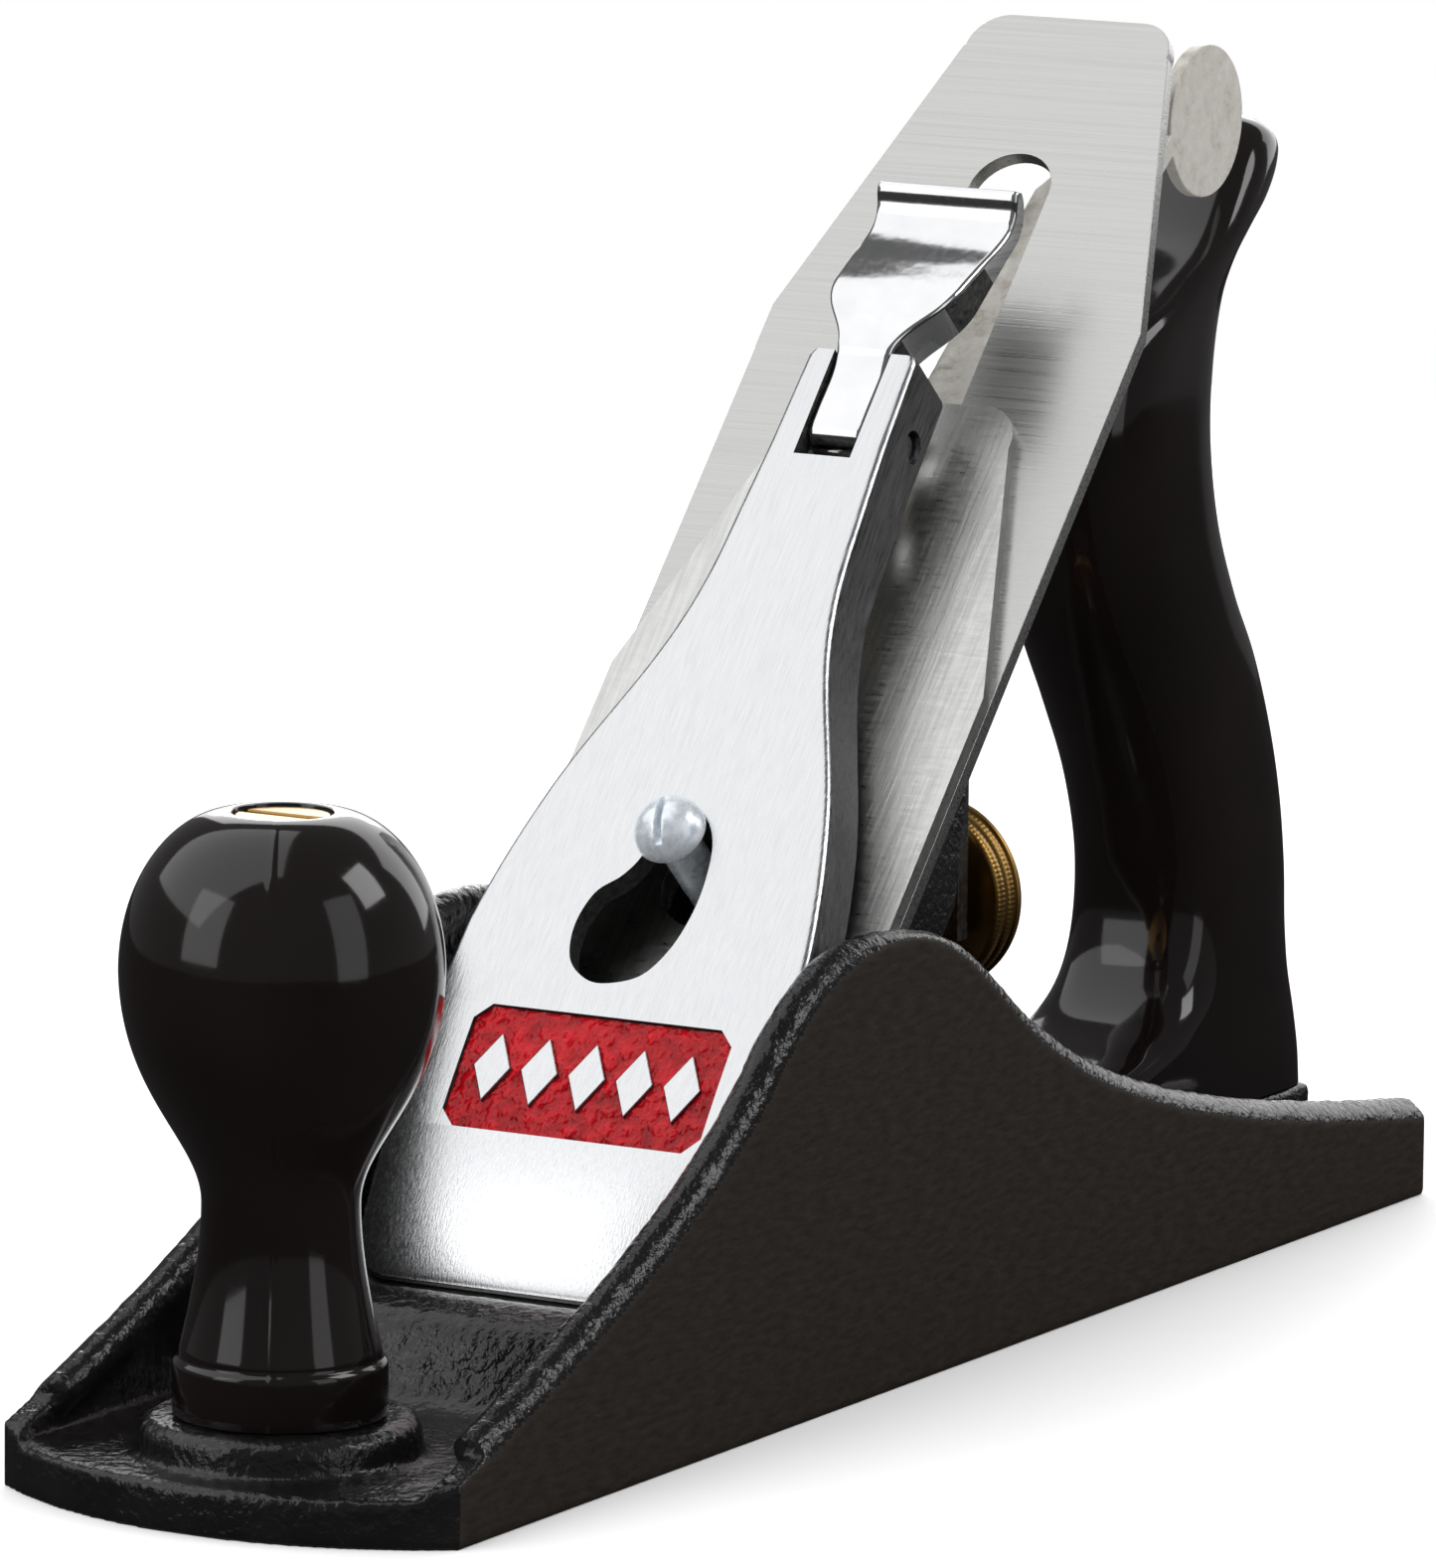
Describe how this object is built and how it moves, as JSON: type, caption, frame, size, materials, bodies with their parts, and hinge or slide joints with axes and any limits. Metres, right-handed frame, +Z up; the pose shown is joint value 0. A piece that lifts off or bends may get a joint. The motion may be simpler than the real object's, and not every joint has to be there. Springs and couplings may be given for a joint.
{
  "type": "hand plane",
  "caption": "Iron bench plane with sliding frog, thumb-nut depth feed, lateral lever, cam-locked lever cap, ball knob and closed-grip tote; its irons, frog and levers move.",
  "frame": {"origin": "middle of the sole's underside, on the surface the plane stands on", "axes": "+Z up; +Y along the sole towards the heel and tote, so the toe and knob are at -Y; +X across the sole towards the plane's left cheek as its user holds it"},
  "size_m": [0.06, 0.251, 0.1509],
  "materials": {
    "black_casting": "black japanned casting, ground satin on the cheeks' outer faces",
    "black_plastic": "high gloss black moulding",
    "satin_chrome": "brushed bright chrome",
    "ground_steel": "fine ground tool steel",
    "zinc_steel": "bright zinc plate",
    "plain_steel": "plain turned steel",
    "nickel": "polished nickel plate",
    "brass": "turned and knurled brass",
    "red_enamel": "glossy red enamel"
  },
  "bodies": {
    "body": {"sole_casting": "black_casting", "frog_screws": "zinc_steel", "frog_screw_washers": "zinc_steel", "knob": "black_plastic", "knob_bolt": "plain_steel", "knob_nut": "brass", "tote": "black_plastic", "tote_bolt": "plain_steel", "tote_nut": "brass"},
    "frog_assembly": {"frog": "black_casting", "frog_adjusting_clip": "plain_steel", "frog_clip_screw": "zinc_steel", "depth_stud": "plain_steel", "yoke_pin": "zinc_steel", "lateral_lever_rivet": "zinc_steel", "lever_cap_screw": "zinc_steel", "lever_cap": "satin_chrome", "lever_cap_enamel": "red_enamel", "lever_cap_spring": "nickel", "spring_rivet": "zinc_steel", "cam_pin": "zinc_steel"},
    "adjusting_screw": {"frog_adjusting_screw": "plain_steel"},
    "thumb_nut": {"depth_nut": "brass"},
    "yoke_arm": {"yoke": "plain_steel"},
    "irons": {"blade": "ground_steel", "cap_iron": "ground_steel", "cap_iron_screw": "plain_steel"},
    "lateral_adjuster": {"lateral_lever": "nickel", "roller_rivet": "zinc_steel"},
    "roller": {"lateral_roller": "nickel"},
    "cam": {"cam_lever": "satin_chrome"}
  },
  "joints": [
    {"name": "frog_slide", "type": "slide", "parent": "body", "child": "frog_assembly", "axis": [0, 1, 0], "range_m": [-0.0015, 0.0015]},
    {"name": "adjusting_screw_turn", "type": "hinge", "parent": "frog_assembly", "child": "adjusting_screw", "pos_m": [0, 0.007, 0.0155], "axis": [0, 1, 0], "range_deg": [-676, 676]},
    {"name": "irons_slide", "type": "slide", "parent": "frog_assembly", "child": "irons", "axis": [0, 0.6691, 0.7431], "range_m": [-0.001, 0.002]},
    {"name": "depth_nut_turn", "type": "hinge", "parent": "frog_assembly", "child": "thumb_nut", "pos_m": [0, 0.042, 0.047], "axis": [0, 1, 0], "range_deg": [-474, 237]},
    {"name": "yoke_swing", "type": "hinge", "parent": "frog_assembly", "child": "yoke_arm", "pos_m": [0, 0.0134, 0.05952], "axis": [1, 0, 0], "range_deg": [-8.4, 4.3]},
    {"name": "lateral_lever_swing", "type": "hinge", "parent": "frog_assembly", "child": "lateral_adjuster", "pos_m": [0, 0.02095, 0.08435], "axis": [0, -0.7431, 0.6691], "range_deg": [-6, 6]},
    {"name": "roller_spin", "type": "hinge", "parent": "lateral_adjuster", "child": "roller", "pos_m": [0, 0.01217, 0.0761], "axis": [0, -0.7431, 0.6691], "continuous": true},
    {"name": "cam_lever_lift", "type": "hinge", "parent": "frog_assembly", "child": "cam", "pos_m": [0, 0.02364, 0.10453], "axis": [1, 0, 0], "range_deg": [0, 90]}
  ],
  "couplings": [
    {"joint": "adjusting_screw_turn", "follows": "frog_slide", "rad_per_m": 7854},
    {"joint": "depth_nut_turn", "follows": "irons_slide", "rad_per_m": -4129},
    {"joint": "yoke_swing", "follows": "irons_slide", "rad_per_m": -71.43}
  ]
}
